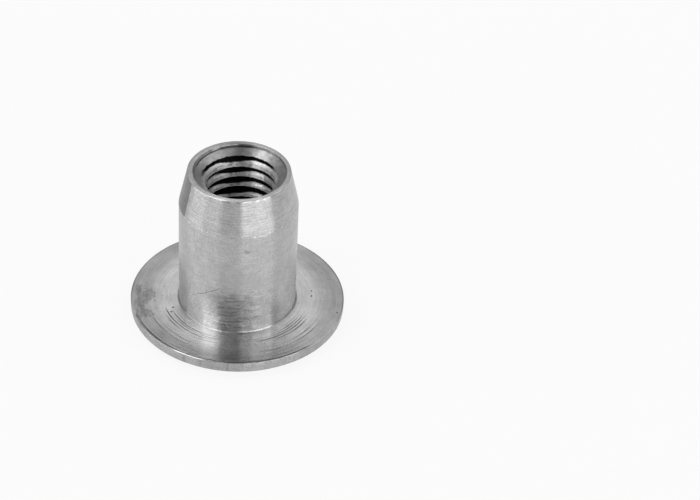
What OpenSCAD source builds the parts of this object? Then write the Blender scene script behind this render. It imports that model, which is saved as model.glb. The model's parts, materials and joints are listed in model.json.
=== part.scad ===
// Sleeve nut in one turned piece: a thin wide head, a plain sleeve with a tapered nose, a tapped
// blind bore from the open end and a hexagon socket in the head. All sizes are in millimetres.
// The origin is the centre of the head's outer face, and +Z runs along the axis to the open end.

/* [Head] */
// Diameter of the head
head_d = 21; // [16:0.5:30]
// Thickness of the head
head_t = 1.5; // [1.2:0.05:3]
// Width of the bevel round the outer face, measured along the face
bevel_w = 0.7; // [0.2:0.05:1]
// Height of that bevel, measured along the axis
bevel_h = 0.65; // [0.2:0.05:1.2]

/* [Sleeve] */
// Diameter of the straight sleeve
sleeve_d = 11.5; // [10.5:0.1:14]
// Length of the sleeve with its nose, from the head to the open end
sleeve_l = 15.15; // [13:0.05:25]
// Length of the tapered nose
nose_l = 3.65; // [1:0.05:5]
// Diameter of the nose at the open end
nose_d = 9.9; // [9.2:0.1:10.4]
// Radius of the fillet between the sleeve and the head
neck_r = 0.2; // [0.1:0.05:0.5]

/* [Tapped bore] */
// Diameter of the tapping drill, which is the crest of the thread
bore_d = 6.8; // [6.6:0.05:7.2]
// Diameter of the countersink at the open end
mouth_d = 8.8; // [8.1:0.05:9]
// Full angle of that countersink
mouth_angle = 90; // [80:5:120]
// Full angle of the drill's point, which is the floor of the bore
drill_angle = 118; // [90:1:150]

/* [Hexagon socket] */
// Key size, across the flats
key_af = 5; // [4:0.5:6]
// Depth of the hexagon, from the outer face
key_depth = 4; // [3:0.1:5]
// Width of the lead-in past the hexagon's corners
lead_w = 0.21; // [0.1:0.01:0.5]
// Full angle of the lead-in
lead_angle = 60; // [50:5:120]
// Step from the flats in to the pilot hole under the hexagon
pilot_step = 0.05; // [0.02:0.01:0.3]
// Length of the pilot hole, from the hexagon to the floor of the bore
pilot_l = 2.3; // [1:0.1:4]

/* [Hidden] */
$fn = 96;
length = head_t + sleeve_l;
nose_z = length - nose_l;
key_corner_d = key_af / cos(30);
lead_d = key_corner_d + 2 * lead_w;
pilot_d = key_af - 2 * pilot_step;
floor_z = key_depth + pilot_l;
// Height of the cone between the pilot hole and the full bore
point_h = (bore_d - pilot_d) / 2 / tan(drill_angle / 2);
// How far each cutting tool runs past the face it starts from
overrun = 0.5;

// Quarter-round fillet in the corner between the sleeve and the head
module neck_fillet() {
    translate([sleeve_d / 2, head_t])
        difference() {
            square(neck_r);
            translate([neck_r, neck_r]) circle(neck_r);
        }
}

// Half section of the turned outside, head at the bottom
module turned_outline() {
    polygon([
        [0, 0],
        [head_d / 2 - bevel_w, 0],
        [head_d / 2, bevel_h],
        [head_d / 2, head_t],
        [sleeve_d / 2, head_t],
        [sleeve_d / 2, nose_z],
        [nose_d / 2, length],
        [0, length]
    ]);
    neck_fillet();
}

// Cone of a pointed tool: its point is on the axis, its rim has diameter d at height z,
// and it opens upwards and runs on past z
module tool_cone(d, angle, z, past) {
    point_z = z - d / 2 / tan(angle / 2);
    tool_h = z + past - point_z;
    translate([0, 0, point_z])
        cylinder(h = tool_h, r1 = 0, r2 = tool_h * tan(angle / 2));
}

// Bore for the thread, with the drill's pointed floor and the countersunk mouth
module tapped_bore() {
    tool_cone(bore_d, drill_angle, floor_z + point_h, 0);
    translate([0, 0, floor_z + point_h])
        cylinder(h = sleeve_l + head_t + overrun - floor_z - point_h, d = bore_d);
    tool_cone(mouth_d, mouth_angle, length, overrun);
}

// Hexagon with a corner towards +Y, its lead-in and the pilot hole into the bore
module key_socket() {
    translate([0, 0, -overrun])
        rotate([0, 0, 30])
            cylinder(h = key_depth + overrun, d = key_corner_d, $fn = 6);
    mirror([0, 0, 1])
        tool_cone(lead_d, lead_angle, 0, overrun);
    translate([0, 0, key_depth / 2])
        cylinder(h = floor_z - key_depth / 2 + point_h / 2, d = pilot_d);
}

module sleeve_nut() {
    color("silver")
        difference() {
            rotate_extrude() turned_outline();
            tapped_bore();
            key_socket();
        }
}

sleeve_nut();
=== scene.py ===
import json
import math

import bpy
import numpy as np
from bpy.props import FloatProperty, FloatVectorProperty, PointerProperty
from mathutils import Matrix, Vector


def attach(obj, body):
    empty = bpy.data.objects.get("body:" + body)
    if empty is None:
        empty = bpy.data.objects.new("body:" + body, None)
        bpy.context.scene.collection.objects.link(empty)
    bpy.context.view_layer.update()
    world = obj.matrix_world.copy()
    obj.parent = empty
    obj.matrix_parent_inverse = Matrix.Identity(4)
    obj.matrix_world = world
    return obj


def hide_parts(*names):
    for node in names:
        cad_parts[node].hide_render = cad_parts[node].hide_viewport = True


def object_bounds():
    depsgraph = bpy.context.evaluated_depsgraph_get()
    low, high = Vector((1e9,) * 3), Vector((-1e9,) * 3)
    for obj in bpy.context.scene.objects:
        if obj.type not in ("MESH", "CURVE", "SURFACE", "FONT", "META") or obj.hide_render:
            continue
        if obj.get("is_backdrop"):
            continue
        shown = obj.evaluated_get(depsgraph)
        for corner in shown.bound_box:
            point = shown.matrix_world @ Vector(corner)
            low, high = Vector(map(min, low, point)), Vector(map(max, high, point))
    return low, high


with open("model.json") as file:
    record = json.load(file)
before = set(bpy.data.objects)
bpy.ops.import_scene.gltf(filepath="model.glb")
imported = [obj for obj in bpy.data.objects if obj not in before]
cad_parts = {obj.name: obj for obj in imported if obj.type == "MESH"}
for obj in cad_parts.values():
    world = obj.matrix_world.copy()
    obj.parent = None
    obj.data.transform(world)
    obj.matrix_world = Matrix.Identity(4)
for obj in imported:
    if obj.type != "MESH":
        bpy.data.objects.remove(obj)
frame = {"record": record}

bl_info = {
    "name": "Sleeve Nut",
    "version": (1, 0, 0),
    "blender": (4, 5, 0),
    "location": "View3D > Sidebar > Sleeve Nut",
    "description": "Dresses a turned steel sleeve nut with its cut thread and tool marks",
    "category": "Object",
}

MM = 0.001
MOUNTS = {mount["name"]: mount for mount in frame["record"]["mounts"]}
CAD_LOW, CAD_HIGH = (corner.copy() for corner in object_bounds())
NODE = "sleeve_nut"
# The photograph's size in pixels, for the camera's shift
PHOTO_W = 700
PHOTO_H = 500


def wall_span(name):
    """Lowest and highest point of a round mount's wall along the nut's axis."""
    mount = MOUNTS[name]
    half = mount["dims"]["length_mm"] * MM / 2
    return mount["pos_m"][2] - half, mount["pos_m"][2] + half


def length_prop(name, description, default):
    return FloatProperty(
        name=name, description=description, default=default,
        min=0.0, precision=6, unit="LENGTH",
    )


def angle_prop(name, description, degrees):
    return FloatProperty(
        name=name, description=description, default=math.radians(degrees), subtype="ANGLE",
    )


def factor_prop(name, description, default, top=1.0):
    return FloatProperty(name=name, description=description, default=default, min=0.0, max=top)


def colour_prop(name, description, default):
    return FloatVectorProperty(
        name=name, description=description, default=default,
        size=3, min=0.0, max=1.0, subtype="COLOR",
    )


class NutSizes(bpy.types.PropertyGroup):
    """Sizes of the turned body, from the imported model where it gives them"""
    head_radius: length_prop("Head radius", "Radius of the head", CAD_HIGH.x)
    head_thickness: length_prop(
        "Head thickness", "Thickness of the head", MOUNTS["head_underside"]["pos_m"][2])
    bevel_width: length_prop("Bevel width", "Width of the bevel on the outer face", 0.7 * MM)
    bevel_height: length_prop("Bevel height", "Height of that bevel", 0.65 * MM)
    sleeve_radius: length_prop(
        "Sleeve radius", "Radius of the sleeve", MOUNTS["sleeve"]["dims"]["r_mm"] * MM)
    nose_start: length_prop(
        "Nose start", "Height at which the nose begins to taper", wall_span("sleeve")[1])
    nose_radius: length_prop("Nose radius", "Radius of the nose at the open end", 4.95 * MM)
    length: length_prop("Length", "Length of the whole nut", CAD_HIGH.z)
    neck_radius: length_prop("Neck fillet", "Fillet between the sleeve and the head", 0.14 * MM)
    mouth_radius: length_prop("Mouth radius", "Radius of the countersunk mouth", 4.45 * MM)
    step_radius: length_prop("Step radius", "Radius at the foot of the mouth's step", 4.37 * MM)
    step_depth: length_prop("Step depth", "Depth of the small step inside the mouth", 0.3 * MM)
    cone_fall: FloatProperty(
        name="Cone fall", description="Radius that the mouth's cone loses for each unit of depth",
        default=1.42, min=0.5)
    bore_radius: length_prop(
        "Bore radius", "Radius of the tapping hole", MOUNTS["thread"]["dims"]["r_mm"] * MM)
    bore_floor: length_prop(
        "Bore floor", "Height at which the full bore ends", wall_span("thread")[0])
    key_flats: length_prop("Key size", "Hexagon across the flats", 5 * MM)
    key_depth: length_prop("Key depth", "Depth of the hexagon", 4 * MM)
    lead_width: length_prop("Lead-in width", "Lead-in past the hexagon's corners", 0.21 * MM)
    lead_angle: angle_prop("Lead-in angle", "Full angle of the lead-in cone", 60)
    pilot_radius: length_prop("Pilot radius", "Radius of the hole under the hexagon", 2.45 * MM)
    pilot_top: length_prop("Pilot top", "Height at which the pilot hole ends", 6.3 * MM)
    edge_break: length_prop("Edge break", "How far a turned edge is worn round", 0.045 * MM)


class NutThread(bpy.types.PropertyGroup):
    """The cut thread"""
    pitch: length_prop("Pitch", "Advance in one turn", 1.25 * MM)
    root_radius: length_prop("Root radius", "Radius at the root of the thread", 4.02 * MM)
    root_width: length_prop("Root width", "Flat at the root", 0.156 * MM)
    first_edge: length_prop(
        "First edge", "Depth of the first crest's lower edge under the rim, at the back",
        0.47 * MM)
    end_height: length_prop("End height", "Height at which the thread runs out", 8.1 * MM)
    tear: length_prop("Tear", "How far the tap tore the crest's lower edge", 0.04 * MM)
    crease: length_prop("Crease", "Depth of the crease along the crest", 0.06 * MM)
    rounding: length_prop("Rounding", "How far the crest's upper edge is rounded", 0.1 * MM)
    lip: length_prop("Lip", "Metal hanging under the first crest", 0.33 * MM)
    lip_turns: FloatProperty(
        name="Lip turns", description="Turns after which no metal hangs under the crest",
        default=3.0, min=0.1)
    mouth_drift: length_prop("Mouth drift", "How far the mouth lies off the axis", 0.05 * MM)
    drift: length_prop("Drift", "How far the tap ran off the axis", 0.18 * MM)
    lean: length_prop("Lean", "How much higher the leaning tap cut on the right", 0.18 * MM)


class NutMarks(bpy.types.PropertyGroup):
    """Marks that turning and use left on the head"""
    burr_height: length_prop("Burr height", "Height of the burr on the head's edge", 0.18 * MM)
    burr_start: angle_prop("Burr start", "Angle round the axis at which the burr starts", 198)
    burr_end: angle_prop("Burr end", "Angle at which the burr ends", 302)
    nick_angle: angle_prop("Nick angle", "Angle of the nick in the head's edge", 197.7)
    nick_depth: length_prop("Nick depth", "Depth of the nick", 0.12 * MM)
    ring_depth: length_prop("Ring depth", "Depth of the turned rings", 0.007 * MM)
    groove_depth: length_prop("Groove depth", "Depth of the grooves round the sleeve", 0.036 * MM)


class NutFinish(bpy.types.PropertyGroup):
    """Colours and surface of the steel"""
    steel: colour_prop("Steel", "Colour of clean turned steel", (0.52, 0.52, 0.52))
    stain: colour_prop("Stain", "Colour of stained steel", (0.27, 0.27, 0.27))
    mouth: colour_prop("Mouth", "Colour of the mouth's cone", (0.4, 0.4, 0.4))
    # Lighter than the steel: the torn crests' colour is partly painted light that they catch
    # through the mouth
    crest: colour_prop("Crest", "Colour of the torn thread crests", (0.82, 0.82, 0.82))
    # Painted shade: the near-black colour of the thread's groove, the deep bore and the mouth's
    # step
    bore_shade: colour_prop("Thread root", "Colour of the oily thread root", (0.012, 0.012, 0.012))
    key_steel: colour_prop("Socket steel", "Colour of the hexagon's walls", (0.16, 0.16, 0.16))
    roughness: factor_prop("Roughness", "Roughness of the turned surface", 0.26)
    streak: factor_prop("Streak", "How far highlights spread across the tool marks", 1.0)


class StudioSettings(bpy.types.PropertyGroup):
    """Camera, floor and light"""
    lens: FloatProperty(name="Lens", description="Focal length in mm", default=120.1, min=1.0)
    distance: length_prop("Distance", "Camera to its aim", 226.4 * MM)
    aim_height: length_prop("Aim height", "Height of the point aimed at", 8.078 * MM)
    elevation: angle_prop("Elevation", "Camera above the horizon", 37.56)
    roll: angle_prop("Roll", "Camera turned about its own axis", 0.876)
    aim_x: FloatProperty(
        name="Aim x", description="Where the aim lies in the photograph, in pixels", default=238.1)
    aim_y: FloatProperty(
        name="Aim y", description="Where the aim lies in the photograph, in pixels", default=242.6)
    backdrop: factor_prop("Backdrop", "Brightness of the pale backdrop", 1.0)
    glow_share: factor_prop("Glow share", "How far the floor shows as backdrop", 0.88)
    fill: factor_prop("Fill", "Brightness of the room", 0.35, 10)


GROUPS = {
    "nut_sizes": NutSizes,
    "nut_thread": NutThread,
    "nut_marks": NutMarks,
    "nut_finish": NutFinish,
    "nut_studio": StudioSettings,
}

COLUMNS = 240
TURN = 2 * math.pi
ANGLES = np.arange(COLUMNS) * TURN / COLUMNS
# Rows of faces on each part of a pitch: crest, flank facing down, root, flank facing up
THREAD_ROWS = (10, 3, 2, 5)
# Vertices nearer than this are one, and edges bent more than this are sharp
MERGE = 1e-7
SHARP_ANGLE = math.radians(32)

# Finishes, as places in the piece's material list
TURNED, FACED, TAPPED, KEYED = range(4)

# Turned grooves in the head round the sleeve: radius and share of the full depth
GROOVES = (
    (6.34, 0.3), (6.72, 0.8), (6.97, 0.6), (7.25, 1.0), (7.56, 0.7), (8.02, 0.3), (9.72, 0.5),
    (8.42, 0.65), (8.88, 0.6),
)
# Sectors in which those grooves are deep: middle and half width in degrees
DEEP_SECTORS = ((228, 30), (310, 26))

# Stains and dark dots on the head's inner side, in mm: middle (x, y) and half width and depth
STAINS = (
    (-8.8, -0.2, 0.75, 0.95),
    (-9.4, -1.2, 0.6, 1.3),
    (-8.9, -2.9, 0.85, 0.8),
    (-9.7, 0.3, 0.3, 1.2),
)
DOTS = (
    (7.33, 0.89, 0.09, 0.13),
    (7.32, 0.1, 0.1, 0.16),
    (9.79, -2.42, 0.09, 0.12),
    (-6.28, -1.99, 0.14, 0.13),
    (-6.42, -2.68, 0.14, 0.12),
)

# Pits and dark spots on the sleeve: angle in degrees, height in mm, half sizes in both, strength
SLEEVE_PITS = (
    (279.0, 11.27, 4.0, 0.28, 0.6),
    (277.0, 11.4, 1.6, 0.14, 0.8),
    (224.0, 6.35, 2.0, 0.12, 0.7),
    (221.0, 6.0, 1.2, 0.3, 0.5),
    (248.0, 3.3, 1.4, 0.1, 0.6),
)

# Painted shadow on the step inside the mouth: first and last angle, how far its top lies under the
# rim, amount
STEP_SHADOW = ((78.0, 113.0, 0.14, 0.75), (116.0, 160.0, 0.25, 0.7))

WHITE = (1, 1, 1, 1)
# Radii of the floor's rings in mm, their corners, and how far it lies under the nut
FLOOR_RINGS = (9.3, 11, 20, 60, 300, 1500)
FLOOR_STEPS = 96
FLOOR_DROP = 0.002 * MM

# Soft panels of the room in degrees: direction (0 in front, positive to the right), half its
# width, height above the floor, half its height, and strength
PANELS = (
    (-50, 16, 23, 15, 2.6),
    (-84, 17, 6, 9, 3.5),
    (-108, 33, 69, 15, 3.5),
    (36, 30, 10, 21, 2.75),
    (120, 28, 57, 18, 1.4),
    (-174, 53, 43, 10, 0.5),
    (0, 180, -52, 28, 0.7),
    (40, 70, -45, 16, 0.9),
)
# Dim gaps in the room, written the same way
GAPS = (
    (17, 12, 60, 35, 1.0),
    (-37, 24, 1, 13, 0.7),
)
# Softness of their edges, to the sides and upwards
SOFT_SIDE = 4
SOFT_TOP = 8


class Waves:
    """A smooth seeded curve: a sum of sines with given wavelengths, from -1 to 1."""

    def __init__(self, seed, lengths):
        draw = np.random.RandomState(seed)
        self.lengths = np.array(lengths, float)
        self.phases = draw.uniform(0, TURN, len(lengths))
        self.weights = draw.uniform(0.5, 1.0, len(lengths))

    def __call__(self, at):
        at = np.asarray(at, float)[..., None]
        sines = np.sin(at / self.lengths * TURN + self.phases) * self.weights
        return sines.sum(-1) / self.weights.sum()


def smooth_step(low, high, value):
    t = np.clip((value - low) / (high - low), 0, 1)
    return t * t * (3 - 2 * t)


def outline(corners, edge):
    """Points (radius, height, finish) along straight runs between corners, with worn corners.

    A corner is (radius, height, step, finish): the step and the finish are those of the run
    that follows it. The first and last corner stay sharp, as neighbours join there.
    """
    spots = np.array([corner[:2] for corner in corners])
    points = []
    for i, (radius, height, step, finish) in enumerate(corners[:-1]):
        start, end = spots[i].copy(), spots[i + 1].copy()
        along = (end - start) / np.linalg.norm(end - start)
        if i > 0:
            before = spots[i - 1] - spots[i]
            before /= np.linalg.norm(before)
            for t in (0.0, 0.25, 0.5, 0.75):
                bend = (1 - t) ** 2 * (start + before * edge) + 2 * t * (1 - t) * start
                points.append((*(bend + t * t * (start + along * edge)), finish))
            start = start + along * edge
        if i < len(corners) - 2:
            end = end - along * edge
        count = max(1, math.ceil(np.linalg.norm(end - start) / step))
        for k in range(count):
            points.append((*(start + (end - start) * k / count), finish))
    return points


def arc(centre, radius, first, last, count, finish):
    """Points on an arc, with the last one left out."""
    turns = first + (last - first) * np.arange(count) / count
    return [
        (centre[0] + radius * math.cos(a), centre[1] + radius * math.sin(a), finish)
        for a in turns
    ]


class Skin:
    """Rings of vertices that become one closed mesh."""

    def __init__(self, drift):
        self.drift = drift
        self.spots = []
        self.faces = []
        self.finishes = []
        self.count = 0
        self.last = None

    def add(self, radius, height, finish, shift=0):
        """Adds rows of vertices and joins each to the row before it.

        With a shift, the rows climb as a helix and meet themselves that many rows lower
        after one turn.
        """
        rows = radius.shape[0]
        x = radius * np.cos(ANGLES) + self.drift(radius, height)
        y = radius * np.sin(ANGLES)
        self.spots.append(np.stack([x, y, height], -1).reshape(-1, 3))
        index = self.count + np.arange(rows * COLUMNS).reshape(rows, COLUMNS)
        self.count += rows * COLUMNS
        if self.last is not None:
            self.join(self.last, index[0], finish[0])
        after = np.roll(index, -1, axis=1)
        if shift:
            after[:, -1] = index[np.maximum(np.arange(rows) - shift, 0), 0]
        for row in range(rows - 1):
            self.join(index[row], index[row + 1], finish[row], after[row], after[row + 1])
        self.last = index[-1]
        return index

    def join(self, low, high, finish, low_after=None, high_after=None):
        low_after = np.roll(low, -1) if low_after is None else low_after
        high_after = np.roll(high, -1) if high_after is None else high_after
        self.faces.append(np.stack([low, low_after, high_after, high], -1))
        self.finishes.append(np.full(COLUMNS, finish))

    def mesh(self, name):
        """The finished mesh, with vertices that share a place made one."""
        spots = np.concatenate(self.spots)
        faces = np.concatenate(self.faces)
        finishes = np.concatenate(self.finishes)
        cells = np.round(spots / MERGE).astype(np.int64)
        _, first, same = np.unique(cells, axis=0, return_index=True, return_inverse=True)
        same = same.reshape(-1)
        faces = same[faces]
        clean = []
        kept = []
        for face, finish in zip(faces.tolist(), finishes.tolist()):
            corners = [v for k, v in enumerate(face) if v != face[k - 1]]
            if len(set(corners)) == len(corners) >= 3:
                clean.append(corners)
                kept.append(finish)
        mesh = bpy.data.meshes.new(name)
        mesh.from_pydata(spots[first].tolist(), [], clean)
        mesh.polygons.foreach_set("material_index", kept)
        mesh.validate()
        mesh.update()
        return mesh


def constant_rows(points):
    """Ring rows for points that are the same all the way round."""
    table = np.array([point[:2] for point in points])
    ones = np.ones(COLUMNS)
    return table[:, :1] * ones, table[:, 1:] * ones, [int(point[2]) for point in points]


def cone_radius(sizes, height):
    """Radius of the mouth's cone at a height."""
    s = sizes
    return s.step_radius - s.cone_fall * (s.length - s.step_depth - height)


def thread_top(sizes, thread):
    """Height just above the place where the thread's root breaks into the cone."""
    s = sizes
    reach = s.step_radius - thread.root_radius - 0.03 * MM
    return s.length - s.step_depth - reach / s.cone_fall


def outside_points(sizes, thread):
    """Half section of the turned outside, from the lead-in up to the countersink."""
    s = sizes
    lead_radius = s.key_flats / math.sqrt(3) + s.lead_width
    face_step = 0.2 * MM
    ring_step = 0.08 * MM
    side_step = 0.16 * MM
    top = thread_top(s, thread)
    points = outline([
        (lead_radius, 0.0, face_step, FACED),
        (s.head_radius - s.bevel_width, 0.0, side_step, TURNED),
        (s.head_radius, s.bevel_height, side_step, TURNED),
        (s.head_radius, s.head_thickness, ring_step, FACED),
        (s.sleeve_radius + s.neck_radius, s.head_thickness, ring_step, TURNED),
    ], s.edge_break)
    centre = (s.sleeve_radius + s.neck_radius, s.head_thickness + s.neck_radius)
    points += arc(centre, s.neck_radius, -math.pi / 2, -math.pi, 6, TURNED)
    points += outline([
        (s.sleeve_radius, s.head_thickness + s.neck_radius, 0.3 * MM, TURNED),
        (s.sleeve_radius, s.nose_start, 0.25 * MM, TURNED),
        (s.nose_radius, s.length, side_step, FACED),
        (s.mouth_radius, s.length, 0.1 * MM, TAPPED),
        (s.step_radius, s.length - s.step_depth, 0.1 * MM, TAPPED),
        (cone_radius(s, top), top, 0.1 * MM, TAPPED),
    ], s.edge_break)
    return points


def window(angle, start, end, soft_start, soft_end):
    """1 between two angles, falling to 0 over soft edges that lie outside them."""
    rise = smooth_step(start - soft_start, start, angle)
    return rise * (1 - smooth_step(end, end + soft_end, angle))


def flange_marks(sizes, marks, radius):
    """Height that grooves and the burr add on the head's inner side."""
    s, m = sizes, marks
    deep = sum(
        np.exp(-((ANGLES - math.radians(middle)) / math.radians(half)) ** 4)
        for middle, half in DEEP_SECTORS)
    change = 0.0
    for number, (place, share) in enumerate(GROOVES):
        wander = Waves(40 + number, [0.5, 0.9, 1.7, 3.1])(ANGLES)
        middle = place * MM + 0.03 * MM * wander
        depth = m.groove_depth * share * (0.2 + 0.8 * deep) * (0.75 + 0.5 * wander)
        change = change - depth * np.exp(-((radius - middle) / (0.07 * MM)) ** 2)
    along = window(ANGLES, m.burr_start, m.burr_end, math.radians(1), math.radians(16))
    swell = 0.35 + 0.65 * smooth_step(m.burr_start, m.burr_start + 0.8, ANGLES)
    ragged = 0.85 + 0.15 * Waves(31, [0.11, 0.19, 0.4, 0.9])(ANGLES)
    tall = m.burr_height * along * swell * ragged
    rise = smooth_step(s.head_radius - 0.26 * MM, s.head_radius - 0.1 * MM, radius)
    trench = np.exp(-((radius - s.head_radius + 0.3 * MM) / (0.08 * MM)) ** 2)
    return change + tall * rise - 0.3 * tall * trench


def turned_rows(sizes, thread, marks):
    """Ring rows of the outside, with turned rings, grooves, a burr and a nick worked into it."""
    s = sizes
    points = outside_points(sizes, thread)
    radius, height, finishes = constant_rows(points)
    path = np.array([point[:2] for point in points])
    ahead = np.roll(path, -1, axis=0) - np.roll(path, 1, axis=0)
    ahead[0], ahead[-1] = path[1] - path[0], path[-1] - path[-2]
    normal = np.stack([ahead[:, 1], -ahead[:, 0]], -1)
    normal /= np.linalg.norm(normal, axis=1, keepdims=True)
    run = np.concatenate([[0], np.cumsum(np.linalg.norm(np.diff(path, axis=0), axis=1))])
    rings = Waves(7, [0.31 * MM, 0.43 * MM, 0.62 * MM, 1.1 * MM])
    cut = marks.ring_depth * (rings(run) - 1) / 2
    faced = np.array([mark == FACED for mark in finishes])
    cut = np.where(faced, cut, 0.35 * cut)
    cut[[0, -1]] = 0
    # Worn corners differ a little round the nut
    flat = np.abs(np.sum(normal * np.roll(normal, 1, axis=0), axis=1)) > 0.999
    chips = Waves(8, [0.07, 0.12, 0.2, 0.5])(ANGLES) - 0.6
    worn = np.where(flat, 0.0, 0.012 * MM)[:, None] * np.minimum(chips, 0)
    worn[0] = worn[-1] = 0
    cut = cut[:, None] + worn
    on_head = smooth_step(s.head_thickness - 0.4 * MM, s.head_thickness - 0.06 * MM, height)
    on_head = on_head * (height < s.head_thickness + 0.001 * MM) * (radius > s.sleeve_radius)
    lift = flange_marks(sizes, marks, radius) * on_head
    nick = np.exp(-((ANGLES - marks.nick_angle) / math.radians(1.3)) ** 2)
    nick = nick * marks.nick_depth * on_head
    nick = nick * smooth_step(s.head_radius - 0.4 * MM, s.head_radius - 0.05 * MM, radius)
    radius = radius + normal[:, :1] * cut - nick
    height = height + normal[:, 1:] * cut + lift - 0.5 * nick
    return radius, height, finishes


def thread_rows(sizes, thread):
    """Helical rows of the thread, from the mouth's cone to its run-out in the bore.

    The rows start on a crest's upper edge and go down. The crest is creased, as a tap rolls its
    two edges up, and under the first crests torn metal hangs over the groove.
    """
    s, t = sizes, thread
    depth = t.root_radius - s.bore_radius
    flank = depth * math.tan(math.radians(30))
    crest = t.pitch - t.root_width - 2 * flank
    part = np.repeat(np.arange(4), THREAD_ROWS)
    share = np.concatenate([np.arange(count) / count for count in THREAD_ROWS])
    per_turn = len(part)
    top = thread_top(s, thread)
    low = t.end_height - 0.6 * MM
    # Height of the top edge of the first crest at angle 0, and how many turns it starts early
    edge = s.length - t.first_edge + crest - t.pitch / 4
    early = max(0, math.ceil((top - edge) / t.pitch))
    edge += early * t.pitch
    turns = math.ceil((edge - low) / t.pitch) + 2
    places = np.arange(turns * per_turn + 1)
    part = part[places % per_turn][:, None]
    share = share[places % per_turn][:, None]
    lap = (places // per_turn)[:, None]
    # The angle turned by the tap, and turns counted from the first crest at the back
    wound = ANGLES - lap * TURN
    turn = lap - early + 0.25 - ANGLES / TURN
    torn = Waves(11, [0.21, 0.34, 0.55, 0.93])(wound)
    chips = Waves(12, [0.09, 0.14, 0.23, 0.37])(wound)
    lip = t.lip * np.clip(1 - turn / t.lip_turns, 0, 1) + t.tear * (chips + 0.7 * torn)
    lip = np.minimum(lip, 0.97 * flank)
    lengths = [crest + lip, flank - lip, t.root_width, flank]
    starts = [0.0, crest + lip, crest + flank, crest + flank + t.root_width]
    drop = sum((part == k) * (starts[k] + share * lengths[k]) for k in range(4))
    height = edge - lap * t.pitch - drop + t.pitch * ANGLES / TURN
    height = height + t.lean * np.cos(ANGLES)
    rounding = t.rounding * (1 - smooth_step(0.0, 0.3, share))
    crease = t.crease * np.exp(-((share - 0.5) / 0.14) ** 2) * (0.7 + 0.5 * torn)
    edge_bump = 0.5 * t.tear * (chips + torn)
    rough = edge_bump * smooth_step(0.3, 1.0, share)
    walls = [
        rounding + crease + rough,
        edge_bump + share * (depth - edge_bump),
        depth,
        depth + share * (t.rounding - depth),
    ]
    inward = sum((part == k) * walls[k] for k in range(4))
    fade = smooth_step(t.end_height - t.pitch / 2, t.end_height + t.pitch, height)
    height = np.clip(height, low, top)
    cone = cone_radius(s, height)
    radius = np.maximum(s.bore_radius + inward * fade, cone)
    radius = np.where(height <= low, s.bore_radius, radius)
    return radius, height, [TAPPED] * len(places), per_turn


def tap_drift(sizes, thread):
    """How far to the side the mouth and the thread lie, at a radius and a height."""
    s, t = sizes, thread

    def shift(radius, height):
        inside = 1 - smooth_step(s.mouth_radius, s.nose_radius, radius)
        deep = 1 - smooth_step(s.length - s.step_depth - 0.1 * MM, s.length, height)
        above = smooth_step(t.end_height - 0.5 * MM, t.end_height + 0.5 * MM, height)
        return inside * above * (t.mouth_drift + (t.drift - t.mouth_drift) * deep)

    return shift


def bore_rows(sizes, thread):
    """Ring rows from the end of the thread through the drill point to the hexagon's floor."""
    s = sizes
    return constant_rows(outline([
        (s.bore_radius, thread.end_height - 0.7 * MM, 0.2 * MM, TAPPED),
        (s.bore_radius, s.bore_floor, 0.1 * MM, TAPPED),
        (s.pilot_radius, s.pilot_top, 0.2 * MM, TAPPED),
        (s.pilot_radius, s.key_depth, 0.1 * MM, KEYED),
    ], 0.03 * MM) + [(s.pilot_radius, s.key_depth, KEYED)])


def key_rows(sizes):
    """Rows of the hexagon: its floor, its walls and the lead-in cone."""
    s = sizes
    # Angle from the middle of the nearest flat; a corner points to +Y
    across = (ANGLES + TURN / 12) % (TURN / 6) - TURN / 12
    wall = s.key_flats / 2 / np.cos(across)
    lead_radius = s.key_flats / math.sqrt(3) + s.lead_width
    lead = (lead_radius - wall) / math.tan(s.lead_angle / 2)
    burr = Waves(21, [0.31, 0.5, 0.9])(ANGLES) * 0.03 * MM
    floor = np.full(COLUMNS, s.key_depth)
    top = lead + burr
    rows = [(s.pilot_radius + (wall - s.pilot_radius) * k / 4, floor) for k in range(1, 5)]
    rows += [(wall, s.key_depth + (top - s.key_depth) * k / 11) for k in range(1, 12)]
    rows += [(wall + (lead_radius - wall) * k / 6, top * (1 - k / 6)) for k in range(1, 6)]
    radius, height = np.array(rows).transpose(1, 0, 2)
    return radius, height, [KEYED] * len(rows)


def nut_mesh(scene):
    """The whole nut as one closed mesh."""
    sizes, thread, marks = scene.nut_sizes, scene.nut_thread, scene.nut_marks
    skin = Skin(tap_drift(sizes, thread))
    first = skin.add(*turned_rows(sizes, thread, marks))
    skin.add(*thread_rows(sizes, thread))
    skin.add(*bore_rows(sizes, thread))
    last = skin.add(*key_rows(sizes))
    skin.join(last[-1], first[0], KEYED)
    mesh = skin.mesh("sleeve_nut_body")
    mesh.shade_smooth()
    mesh.set_sharp_from_angle(angle=SHARP_ANGLE)
    return mesh


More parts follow.
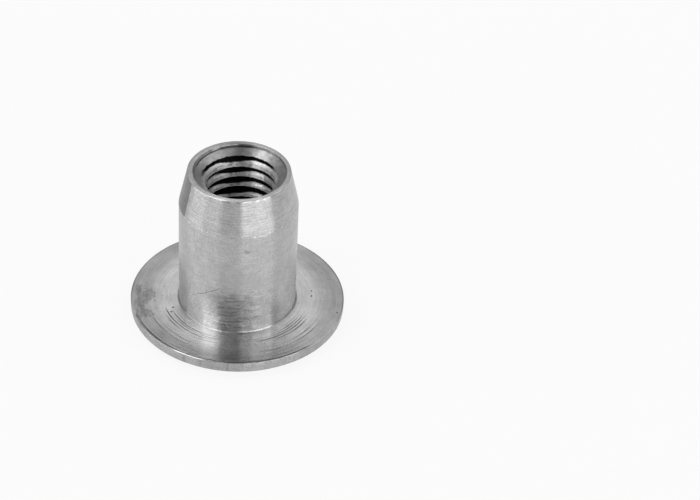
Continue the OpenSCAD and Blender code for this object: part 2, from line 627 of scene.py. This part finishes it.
class Nodes:
    """Adds nodes to a tree and joins them by their sockets."""

    def __init__(self, tree):
        self.tree = tree

    def add(self, kind, inputs=None, **settings):
        node = self.tree.nodes.new(kind)
        for name, value in settings.items():
            setattr(node, name, value)
        for key, value in (inputs or {}).items():
            if isinstance(value, bpy.types.NodeSocket):
                self.tree.links.new(value, node.inputs[key])
            else:
                node.inputs[key].default_value = value
        return node

    def send(self, node, values):
        """Joins named values to the inputs of a node."""
        for name, value in values.items():
            self.tree.links.new(value, node.inputs[name])

    def math(self, operation, *values, clamp=False):
        node = self.add("ShaderNodeMath", dict(enumerate(values)), operation=operation)
        node.use_clamp = clamp
        return node.outputs[0]

    def times(self, first, *others):
        """The product of masks or values."""
        for other in others:
            first = self.math("MULTIPLY", first, other)
        return first

    def most(self, first, *others):
        """The largest of masks or values."""
        for other in others:
            first = self.math("MAXIMUM", first, other)
        return first

    def less(self, first, second):
        return self.math("SUBTRACT", first, second)

    def line(self, value, factor, offset):
        return self.math("MULTIPLY_ADD", value, factor, offset)

    def rest(self, mask):
        """1 where a mask is 0, and 0 where it is 1."""
        return self.less(1.0, mask)

    def tone(self, shade, mask, amount, base=1.0):
        """A shade that changes by a share of itself where a mask is 1."""
        return self.times(shade, self.line(mask, amount, base))

    def range(self, value, low, high, to_low=0.0, to_high=1.0):
        node = self.add("ShaderNodeMapRange", {
            "Value": value, "From Min": low, "From Max": high,
            "To Min": to_low, "To Max": to_high,
        }, interpolation_type="SMOOTHSTEP")
        return node.outputs[0]

    def band(self, value, low, high, soft):
        """1 between two values, with soft ends outside them."""
        return self.times(self.range(value, low - soft, low), self.range(value, high + soft, high))

    def noise(self, vector, scale, detail=2.0, w=None):
        inputs = {"Vector": vector, "Scale": scale, "Detail": detail, "Roughness": 0.6}
        if w is not None:
            inputs["W"] = w
        node = self.add("ShaderNodeTexNoise", inputs,
                        noise_dimensions="3D" if w is None else "4D")
        return node.outputs["Fac"]

    def group(self, tree, inputs=None):
        return self.add("ShaderNodeGroup", inputs, node_tree=tree).outputs

    def split(self, vector):
        return self.add("ShaderNodeSeparateXYZ", {0: vector}).outputs

    def mix(self, factor, first, second):
        node = self.add("ShaderNodeMix", {0: factor, 6: first, 7: second}, data_type="RGBA")
        return node.outputs[2]

    def mix_shaders(self, factor, first, second):
        inputs = {0: factor, 1: first.outputs[0], 2: second.outputs[0]}
        return self.add("ShaderNodeMixShader", inputs)


FLOAT = "NodeSocketFloat"
COLOUR = "NodeSocketColor"
VECTOR = "NodeSocketVector"


def group_tree(name, inputs, outputs):
    """An empty node group, with its entry and exit.

    An input is a name and the number or colour it starts with, and an output a name and a kind.
    """
    tree = bpy.data.node_groups.new(name, "ShaderNodeTree")
    for label, value in inputs.items():
        kind = COLOUR if isinstance(value, tuple) else FLOAT
        socket = tree.interface.new_socket(name=label, in_out="INPUT", socket_type=kind)
        socket.default_value = value
    for label, kind in outputs.items():
        tree.interface.new_socket(name=label, in_out="OUTPUT", socket_type=kind)
    nodes = Nodes(tree)
    return tree, nodes, nodes.add("NodeGroupInput").outputs, nodes.add("NodeGroupOutput")


def place_group():
    """Where a point lies on the nut: radius, height in metres, and the angle in degrees."""
    tree, nodes, _, leave = group_tree("nut place", {}, {
        "Radius": FLOAT, "Height": FLOAT, "Angle": FLOAT, "Spot": VECTOR})
    spot = nodes.add("ShaderNodeTexCoord").outputs["Object"]
    part = nodes.split(spot)
    square = nodes.line(part["X"], part["X"], nodes.times(part["Y"], part["Y"]))
    turn = nodes.math("DEGREES", nodes.math("ARCTAN2", part["Y"], part["X"]))
    nodes.send(leave, {
        "Radius": nodes.math("SQRT", square),
        "Height": part["Z"],
        # From 0 at the right, through 90 at the back, to 360
        "Angle": nodes.math("WRAP", turn, 360.0, 0.0),
        "Spot": spot,
    })
    return tree


def grain_group(place):
    """Fine marks that run round the axis, as a turning tool leaves them."""
    tree, nodes, entry, leave = group_tree(
        "turned grain", {"Across": 9000.0, "Along": 5.0}, {"Grain": FLOAT})
    at = nodes.group(place)
    part = nodes.split(at["Spot"])
    stretch = nodes.math("DIVIDE", entry["Along"], nodes.math("MAXIMUM", at["Radius"], 0.0001))
    vector = nodes.add("ShaderNodeCombineXYZ", {
        "X": nodes.times(part["X"], stretch),
        "Y": nodes.times(part["Y"], stretch),
        "Z": nodes.times(at["Radius"], entry["Across"]),
    }).outputs[0]
    lift = nodes.times(at["Height"], entry["Across"])
    nodes.send(leave, {"Grain": nodes.noise(vector, 1.0, 2.0, lift)})
    return tree


def soil_group(place):
    """Cloudy patches and small specks of grime."""
    tree, nodes, entry, leave = group_tree(
        "soil", {"Patch Scale": 500.0, "Specks": 0.3}, {"Cloud": FLOAT, "Speck": FLOAT})
    spot = nodes.group(place)["Spot"]
    cloud = nodes.noise(spot, entry["Patch Scale"], 4.0)
    fine = nodes.noise(spot, 3500.0)
    nodes.send(leave, {
        "Cloud": nodes.range(cloud, 0.3, 0.7),
        "Speck": nodes.times(nodes.range(fine, 0.66, 0.74), entry["Specks"]),
    })
    return tree


def scratch_group(place):
    """Thin scratches at a slant to the tool marks, broken into short lengths."""
    tree, nodes, entry, leave = group_tree(
        "scratches", {"Slant": 0.6, "Amount": 0.5}, {"Scratch": FLOAT})
    turned = nodes.add("ShaderNodeVectorRotate", {
        "Vector": nodes.group(place)["Spot"],
        "Axis": (0.3, 0.9, 0.3),
        "Angle": entry["Slant"],
    }).outputs[0]
    long = nodes.add("ShaderNodeMapping", {"Vector": turned, "Scale": (900, 900, 14000)})
    lines = nodes.noise(long.outputs[0], 1.0, 1.0)
    nodes.send(leave, {"Scratch": nodes.times(nodes.range(lines, 0.66, 0.72), entry["Amount"])})
    return tree


def steel_group():
    """Colour, roughness and height of steel from its grain, soil with painted shade, and scratches.
    """
    tree, nodes, entry, leave = group_tree("steel surface", {
        "Clean": (0.5, 0.5, 0.5, 1), "Soiled": (0.2, 0.2, 0.2, 1), "Shade": 1.0, "Grain": 0.5,
        "Grain Contrast": 0.5, "Soil": 0.0, "Scratch": 0.0, "Roughness": 0.26,
    }, {"Colour": COLOUR, "Roughness": FLOAT, "Height": FLOAT})
    swing = nodes.times(nodes.less(entry["Grain"], 0.5), entry["Grain Contrast"])
    bright = nodes.times(entry["Shade"], nodes.math("ADD", swing, 1.0))
    bright = nodes.line(entry["Scratch"], 0.25, bright)
    base = nodes.mix(entry["Soil"], entry["Clean"], entry["Soiled"])
    colour = nodes.add("ShaderNodeVectorMath", {0: base, 1: bright}, operation="MULTIPLY")
    rough = nodes.line(swing, -0.08, entry["Roughness"])
    nodes.send(leave, {
        "Colour": colour.outputs[0],
        "Roughness": nodes.line(entry["Soil"], 0.18, rough),
        "Height": nodes.less(entry["Grain"], entry["Scratch"]),
    })
    return tree


def empty_tree(owner):
    """The emptied node tree of a material or a world."""
    owner.use_nodes = True
    owner.node_tree.nodes.clear()
    return owner.node_tree


class PlacedNodes(Nodes):
    """Nodes with masks by where a point lies on the nut, in mm and degrees."""

    def __init__(self, material, place):
        super().__init__(empty_tree(material))
        self.material = material
        at = self.group(place)
        self.radius, self.height, self.angle, self.spot = (
            at[name] for name in ("Radius", "Height", "Angle", "Spot"))

    def out(self, none, full, origin=0.0):
        """0 at one distance past a radius and 1 at another."""
        return self.range(self.radius, origin + none * MM, origin + full * MM)

    def up(self, none, full, origin=0.0):
        """0 at one distance over a height and 1 at another."""
        return self.range(self.height, origin + none * MM, origin + full * MM)

    def level(self, low, high, soft, origin=0.0):
        """1 between two distances over a height."""
        return self.band(self.height, origin + low * MM, origin + high * MM, soft * MM)

    def sector(self, start, end, soft):
        """1 between two angles."""
        return self.band(self.angle, start, end, soft)

    def blobs(self, places, ragged):
        """1 inside a few patches on the head, given by their middle and half sizes."""
        part = self.split(self.spot)
        total = 0.0
        for x, y, wide, deep in places:
            away_x = self.times(self.less(part["X"], x * MM), 1 / (wide * MM))
            away_y = self.times(self.less(part["Y"], y * MM), 1 / (deep * MM))
            away = self.line(away_x, away_x, self.times(away_y, away_y))
            away = self.math("ADD", away, ragged)
            total = self.most(self.range(away, 1.15, 0.85), total)
        return total


class Finishes:
    """The four finishes of the nut, made from the same node groups."""

    def __init__(self, scene):
        self.sizes = scene.nut_sizes
        self.thread = scene.nut_thread
        self.finish = scene.nut_finish
        self.place = place_group()
        self.grain = grain_group(self.place)
        self.soil = soil_group(self.place)
        self.scratches = scratch_group(self.place)
        self.steel = steel_group()

    def begin(self, name):
        return PlacedNodes(bpy.data.materials.new(name), self.place)

    def marks(self, nodes, across, along):
        return nodes.group(self.grain, {"Across": across, "Along": along})["Grain"]

    def shader(self, nodes, relief, **values):
        """Steel whose colour and roughness come from a group, with a fine bump for its relief."""
        f = self.finish
        inputs = {"Clean": (*f.steel, 1), "Soiled": (*f.stain, 1), "Roughness": f.roughness}
        inputs.update({name.replace("_", " "): value for name, value in values.items()})
        surface = nodes.group(self.steel, inputs)
        bump = nodes.add("ShaderNodeBump", {
            "Height": surface["Height"], "Distance": relief, "Strength": 1.0})
        shader = nodes.add("ShaderNodeBsdfPrincipled", {
            "Base Color": surface["Colour"],
            "Metallic": 1.0,
            "Roughness": surface["Roughness"],
            "Anisotropic": f.streak,
            "Anisotropic Rotation": 0.25,
            "Normal": bump.outputs[0],
        })
        nodes.add("ShaderNodeOutputMaterial", {"Surface": shader.outputs[0]})
        return nodes.material

    def turned(self):
        """Sleeve, nose, bevel and side wall: fine marks round the axis, wavy near the head."""
        s = self.sizes
        at = self.begin("turned steel")
        grain = self.marks(at, 6400.0, 3.2)
        wavy = at.range(self.marks(at, 3000.0, 6.0), 0.36, 0.64, -0.5, 0.5)
        upright = self.marks(at, 450.0, 21.0)
        fine = at.noise(at.spot, 5200.0, 3.0)
        soil = at.group(self.soil, {"Patch Scale": 900.0, "Specks": 0.3})
        scratch = at.group(self.scratches, {"Amount": 0.2})["Scratch"]
        on_sleeve = at.out(0.5, 0.3, s.sleeve_radius)
        taper = at.band(at.height, s.nose_start + 0.05 * MM, s.length, 0.05 * MM)
        # Where the tool chattered, low on the front of the sleeve, and a painted dark reflection
        # across its upper part
        chatter = at.times(at.level(2.4, 5.6, 1.4), at.sector(254, 288, 10))
        dark_reflection = at.times(at.level(4.3, 5.4, 1.6), at.sector(256, 266, 24))
        # The feed of the tool on the tapered nose
        feed = at.math("SINE", at.line(at.height, TURN / (0.26 * MM), at.times(grain, 7.0)))
        # The turned marks are clearer on the nose than on the sleeve
        mixed = at.line(at.less(grain, 0.5), at.line(taper, 0.4, 0.6), 0.5)
        mixed = at.line(at.times(feed, taper), 0.09, mixed)
        mixed = at.line(at.times(wavy, chatter), 0.85, mixed)
        # The head's side wall is duller, with faint upright nicks
        wall = at.times(at.range(upright, 0.28, 0.46, 0.36, 0.17), at.rest(on_sleeve))
        # Painted light: the foot of the sleeve is brighter, most of all in a painted highlight
        # streak left of the front
        foot = at.times(on_sleeve, at.up(8, 4))
        streak = at.times(at.up(6, 3), at.sector(238, 247, 9), on_sleeve)
        # A painted dark reflection: a darker strip up the left of the nose
        painted_dark_strip = at.times(at.range(at.angle, 110.0, 160.0), at.range(at.angle, 207.5, 206.0), taper)
        shade = at.line(soil["Cloud"], 0.12, 0.88)
        shade = at.times(shade, at.range(fine, 0.2, 0.8, 0.86, 1.12))
        shade = at.tone(shade, foot, 0.22, 0.97)
        for mask, amount in ((dark_reflection, -0.3), (wall, -1.0), (streak, 0.25), (painted_dark_strip, -0.56)):
            shade = at.tone(shade, mask, amount)
        # Painted shade in the corner at the head, but not at the front
        neck_shade = at.times(at.up(0.2, 0.05, s.head_thickness), at.rest(at.sector(252, 300, 12)),
                        on_sleeve, 0.55)
        # Small chips along the edge between nose and sleeve, painted as bright glints
        chip_glint = at.range(at.noise(at.spot, 2600.0, 1.0), 0.55, 0.62)
        chip_glint = at.times(chip_glint, at.level(-0.05, 0.07, 0.04, s.nose_start))
        # A hairline that climbs to the right, with a painted highlight on its lower edge
        climb = at.line(at.angle, -0.067 * MM, 10.23 * MM)
        off = at.math("ADD", at.line(wavy, 0.08 * MM, at.height), climb)
        reach = at.sector(228, 252, 2)
        hair = at.times(at.band(off, -0.035 * MM, 0.035 * MM, 0.03 * MM), reach, 0.9)
        lit = at.times(at.band(off, -0.13 * MM, -0.08 * MM, 0.03 * MM), reach, 0.6)
        soil_and_shade = at.most(soil["Speck"], neck_shade, hair)
        for angle, height, wide, tall, amount in SLEEVE_PITS:
            soil_and_shade = at.most(soil_and_shade, at.times(
                at.sector(angle, angle, wide), at.level(height, height, tall), amount))
        return self.shader(at, 0.0018 * MM, Shade=shade, Grain=mixed, Grain_Contrast=0.5,
                           Soil=soil_and_shade, Scratch=at.most(scratch, chip_glint, lit))

    def faced(self):
        """Flat faces of the head and the rim: rings, stains, darker grooves, and painted reflection
        shading and highlights.
        """
        s = self.sizes
        at = self.begin("faced steel")
        grain = self.marks(at, 5600.0, 3.5)
        fine = at.noise(at.spot, 5000.0, 3.0)
        soil = at.group(self.soil, {"Patch Scale": 600.0, "Specks": 0.4})
        scratch = at.group(self.scratches, {"Amount": 0.2, "Slant": 1.1})["Scratch"]
        # Painted reflection shading on the head's inner side: brighter round the sleeve except in
        # front, darker outside, brighter in front inside the edge, and darker in two sectors near
        # the front
        head = at.times(at.up(0.9, 1.2), at.up(3, 2))
        front = at.range(at.math("ABSOLUTE", at.less(at.angle, 275.0)), 62.0, 34.0)
        dim_reflection = at.most(at.times(at.sector(222, 253, 12), at.out(7.6, 9)),
                      at.times(at.sector(283, 289, 8), 0.7))
        shade = 1.0
        for mask, amount in (
            (at.times(at.out(8.9, 7.2), at.rest(front)), 0.32),
            (at.out(8.4, 9.6), -0.12),
            (at.times(front, at.out(9.6, 8.2)), 0.16),
            (dim_reflection, -0.2),
        ):
            shade = at.line(at.times(mask, head), amount, shade)
        shade = at.tone(shade, soil["Cloud"], 0.16, 0.92)
        # Painted highlights: the rim in front, and the burr's top where it is tallest
        rim = at.times(at.up(15, 16), at.sector(255, 290, 20))
        shade = at.line(rim, 0.65, shade)
        burr = at.times(at.sector(238, 250, 5), at.up(0.02, 0.08, s.head_thickness), head)
        shade = at.line(burr, 0.8, shade)
        # Darker in grooves and trenches, and grime on the worn outer edge at the back
        outer = at.out(-0.16, -0.08, s.head_radius)
        front_side = at.sector(195, 330, 25)
        nick = at.times(at.sector(193, 200.5, 1.5), at.out(-0.6, -0.4, s.head_radius))
        clear = at.most(at.times(outer, front_side), nick)
        sunk = at.times(at.up(-0.01, -0.022, s.head_thickness), at.rest(clear), 0.8)
        edge = at.times(outer, at.rest(front_side), 0.5)
        # Stains have ragged edges that follow the turned rings
        ragged = at.line(at.noise(at.spot, 2600.0, 5.0), 5.0, -4.0)
        stains = at.times(at.blobs(STAINS, at.line(grain, 3.0, ragged)),
                          at.range(fine, 0.25, 0.7, 0.1, 0.42))
        dots = at.times(at.blobs(DOTS, 0.0), 0.65)
        soil_and_shade = at.times(at.most(stains, dots, sunk, edge), head)
        return self.shader(
            at, 0.0008 * MM, Soiled=(0.1, 0.1, 0.1, 1), Shade=shade, Grain=grain,
            Grain_Contrast=0.5, Soil=at.most(soil_and_shade, soil["Speck"]), Scratch=scratch)

    def tapped(self):
        """Mouth, thread and bore: torn crests whose light colour is partly painted light, and
        painted black shade in the groove, on the mouth's step and deep in the bore.
        """
        s, t, f = self.sizes, self.thread, self.finish
        at = self.begin("tapped steel")
        grain = self.marks(at, 5000.0, 9.0)
        soil = at.group(self.soil, {"Patch Scale": 1400.0, "Specks": 0.8})
        part = at.split(at.spot)
        # Radius from the thread's own axis, beside the nut's
        side = at.less(part["X"], t.drift)
        own = at.math("SQRT", at.line(side, side, at.times(part["Y"], part["Y"])))
        ragged = at.less(at.noise(at.spot, 3000.0, 2.0), 0.5)
        own = at.line(ragged, 0.12 * MM, own)
        # Painted black shade in the groove: it reaches highest on the flanks at the back
        groove = at.range(at.line(at.sector(92, 104, 28), 0.2 * MM, own),
                          s.bore_radius + 0.2 * MM, s.bore_radius + 0.3 * MM)
        # Depth under the mouth's cone at this radius
        cone = at.line(own, 1 / s.cone_fall, s.length - s.step_depth - s.step_radius / s.cone_fall)
        below = at.range(at.less(cone, at.height), 0.1 * MM, 0.26 * MM)
        # The first groove runs out into the mouth on both sides
        ends = at.most(at.sector(178, 230, 27), at.range(at.angle, 38.0, 24.0))
        groove = at.tone(groove, at.times(ends, at.up(-1.65, -1.4, s.length)), -0.85)
        # Painted black shade in the groove under the cone, and in the bore below the thread's end
        bore_shade = at.most(at.times(groove, below), at.up(1.5, 0, t.end_height))
        # Painted shadow on the step inside the mouth
        for start, end, top, amount in STEP_SHADOW:
            step = at.band(at.height, s.length - s.step_depth - 0.02 * MM, s.length - top * MM,
                           0.03 * MM)
            bore_shade = at.most(bore_shade, at.times(step, at.sector(start, end, 14), amount))
        # A painted highlight on the crests under the first, right of the back
        crest_highlight = at.times(at.up(-1.5, -1.8, s.length), at.sector(60, 88, 16))
        shade = at.line(crest_highlight, 0.28, at.line(soil["Cloud"], 0.3, 0.82))
        return self.shader(
            at, 0.01 * MM, Clean=at.mix(below, (*f.mouth, 1), (*f.crest, 1)),
            Soiled=(*f.bore_shade, 1), Shade=shade, Grain=grain, Grain_Contrast=0.7,
            Soil=at.most(bore_shade, at.times(soil["Speck"], 0.6)),
            Roughness=at.line(below, 0.08, 0.36))

    def keyed(self):
        """Hexagon socket: pressed walls, darker deeper in, and a light torn lead-in."""
        f = self.finish
        at = self.begin("keyed steel")
        soil = at.group(self.soil, {"Patch Scale": 1500.0, "Specks": 0.8})
        return self.shader(
            at, 0.01 * MM, Clean=at.mix(at.up(0.75, 0.35), (*f.key_steel, 1), (*f.steel, 1)),
            Shade=at.line(soil["Cloud"], 0.4, 0.8), Grain=self.marks(at, 5000.0, 12.0),
            Grain_Contrast=0.6, Soil=soil["Speck"], Roughness=0.34)

    def all(self):
        return self.turned(), self.faced(), self.tapped(), self.keyed()


class OBJECT_OT_build_sleeve_nut(bpy.types.Operator):
    """Builds the nut: turned body, cut thread and hexagon socket in one closed mesh"""
    bl_idname = "object.build_sleeve_nut"
    bl_label = "Build Sleeve Nut"

    def execute(self, context):
        scene = context.scene
        mesh = nut_mesh(scene)
        for material in Finishes(scene).all():
            mesh.materials.append(material)
        piece = bpy.data.objects.new("sleeve_nut_body", mesh)
        scene.collection.objects.link(piece)
        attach(piece, "root")
        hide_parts(NODE)
        return {"FINISHED"}


def floor_object(scene):
    """A wide disc under the nut, open under the head so that the face can be seen from below."""
    turns = np.arange(FLOOR_STEPS) * TURN / FLOOR_STEPS
    spots = [(radius * MM * math.cos(a), radius * MM * math.sin(a), -FLOOR_DROP)
             for radius in FLOOR_RINGS for a in turns]
    faces = []
    for inner in range(0, len(spots) - FLOOR_STEPS, FLOOR_STEPS):
        outer = inner + FLOOR_STEPS
        for k in range(FLOOR_STEPS):
            after = (k + 1) % FLOOR_STEPS
            faces.append((inner + k, outer + k, outer + after, inner + after))
    mesh = bpy.data.meshes.new("floor")
    mesh.from_pydata(spots, [], faces)
    floor = bpy.data.objects.new("floor", mesh)
    scene.collection.objects.link(floor)
    floor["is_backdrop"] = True
    return floor


def backdrop_factor(nodes):
    """1 for the rays that see the backdrop as it is: camera, glossy and transmission rays."""
    path = nodes.add("ShaderNodeLightPath")
    total = nodes.math("ADD", path.outputs["Is Camera Ray"], path.outputs["Is Glossy Ray"])
    return nodes.math("ADD", total, path.outputs["Is Transmission Ray"], clamp=True)


def floor_material(studio):
    material = bpy.data.materials.new("pale floor")
    nodes = Nodes(empty_tree(material))
    diffuse = nodes.add("ShaderNodeBsdfDiffuse", {"Color": (0.8, 0.8, 0.8, 1)})
    glow = nodes.add("ShaderNodeEmission", {"Color": WHITE, "Strength": studio.backdrop})
    share = nodes.times(backdrop_factor(nodes), studio.glow_share)
    lit = nodes.mix_shaders(share, diffuse, glow)
    clear = nodes.add("ShaderNodeBsdfTransparent")
    back = nodes.add("ShaderNodeNewGeometry").outputs["Backfacing"]
    both = nodes.mix_shaders(back, lit, clear)
    nodes.add("ShaderNodeOutputMaterial", {"Surface": both.outputs[0]})
    return material


def add_camera(scene, studio):
    data = bpy.data.cameras.new("camera")
    data.lens = studio.lens
    data.sensor_width = 36
    data.clip_start = 1 * MM
    data.clip_end = 10
    data.shift_x = (PHOTO_W / 2 - studio.aim_x) / PHOTO_W
    data.shift_y = (studio.aim_y - PHOTO_H / 2) / PHOTO_W
    camera = bpy.data.objects.new("camera", data)
    back = Vector((0, -math.cos(studio.elevation), math.sin(studio.elevation)))
    aim = Vector((0, 0, studio.aim_height))
    turn = (-back).to_track_quat("-Z", "Y").to_matrix() @ Matrix.Rotation(studio.roll, 3, "Z")
    camera.matrix_world = Matrix.Translation(aim + back * studio.distance) @ turn.to_4x4()
    scene.collection.objects.link(camera)
    scene.camera = camera


def near(nodes, value, centre, half, soft):
    """1 where an angle lies within half of the centre, falling to 0 over a soft edge."""
    away = nodes.less(value, math.radians(centre))
    away = nodes.math("ABSOLUTE", nodes.math("WRAP", away, math.pi, -math.pi))
    return nodes.range(away, math.radians(half + soft), math.radians(half - soft))


def patch(nodes, around, above, place):
    """1 inside a soft patch of the room."""
    at, wide, high, tall, _ = place
    return nodes.times(near(nodes, around, at, wide, SOFT_SIDE),
                       near(nodes, above, high, tall, SOFT_TOP))


def studio_world(studio):
    """A pale room: soft bright panels round the nut, and dim gaps between them."""
    world = bpy.data.worlds.new("studio")
    nodes = Nodes(empty_tree(world))
    part = nodes.split(nodes.add("ShaderNodeTexCoord").outputs["Generated"])
    # Angle round the nut, 0 at the front and positive to the right, and angle above the floor
    around = nodes.math("ARCTAN2", part["X"], nodes.times(part["Y"], -1.0))
    above = nodes.math("ARCSINE", part["Z"])
    light = studio.fill
    for panel in PANELS:
        light = nodes.line(patch(nodes, around, above, panel), panel[-1], light)
    for gap in GAPS:
        light = nodes.tone(light, patch(nodes, around, above, gap), -gap[-1])
    seen = nodes.add("ShaderNodeBackground", {"Color": WHITE, "Strength": studio.backdrop})
    room = nodes.add("ShaderNodeBackground", {"Color": WHITE, "Strength": light})
    camera = nodes.add("ShaderNodeLightPath").outputs["Is Camera Ray"]
    both = nodes.mix_shaders(camera, room, seen)
    nodes.add("ShaderNodeOutputWorld", {"Surface": both.outputs[0]})
    return world


class OBJECT_OT_build_nut_stage(bpy.types.Operator):
    """Sets up the pale floor, the room's light and the camera"""
    bl_idname = "object.build_nut_stage"
    bl_label = "Build Stage"

    def execute(self, context):
        scene = context.scene
        studio = scene.nut_studio
        floor = floor_object(scene)
        floor.data.materials.append(floor_material(studio))
        scene.world = studio_world(studio)
        scene.view_settings.view_transform = "Standard"
        add_camera(scene, studio)
        return {"FINISHED"}


class VIEW3D_PT_sleeve_nut(bpy.types.Panel):
    """Sizes, finish and stage of the sleeve nut"""
    bl_label = "Sleeve Nut"
    bl_idname = "VIEW3D_PT_sleeve_nut"
    bl_space_type = "VIEW_3D"
    bl_region_type = "UI"
    bl_category = "Sleeve Nut"

    def draw(self, context):
        layout = self.layout
        for name, kind in GROUPS.items():
            box = layout.box()
            for prop in kind.__annotations__:
                box.prop(getattr(context.scene, name), prop)
        layout.operator(OBJECT_OT_build_sleeve_nut.bl_idname)
        layout.operator(OBJECT_OT_build_nut_stage.bl_idname)


CLASSES = (
    *GROUPS.values(),
    OBJECT_OT_build_sleeve_nut,
    OBJECT_OT_build_nut_stage,
    VIEW3D_PT_sleeve_nut,
)


def register():
    for cls in CLASSES:
        bpy.utils.register_class(cls)
    for name, group in GROUPS.items():
        setattr(bpy.types.Scene, name, PointerProperty(type=group))


def unregister():
    for name in GROUPS:
        delattr(bpy.types.Scene, name)
    for cls in reversed(CLASSES):
        bpy.utils.unregister_class(cls)


def main():
    register()
    bpy.ops.object.build_sleeve_nut()
    bpy.ops.object.build_nut_stage()


if __name__ == "__main__":
    main()
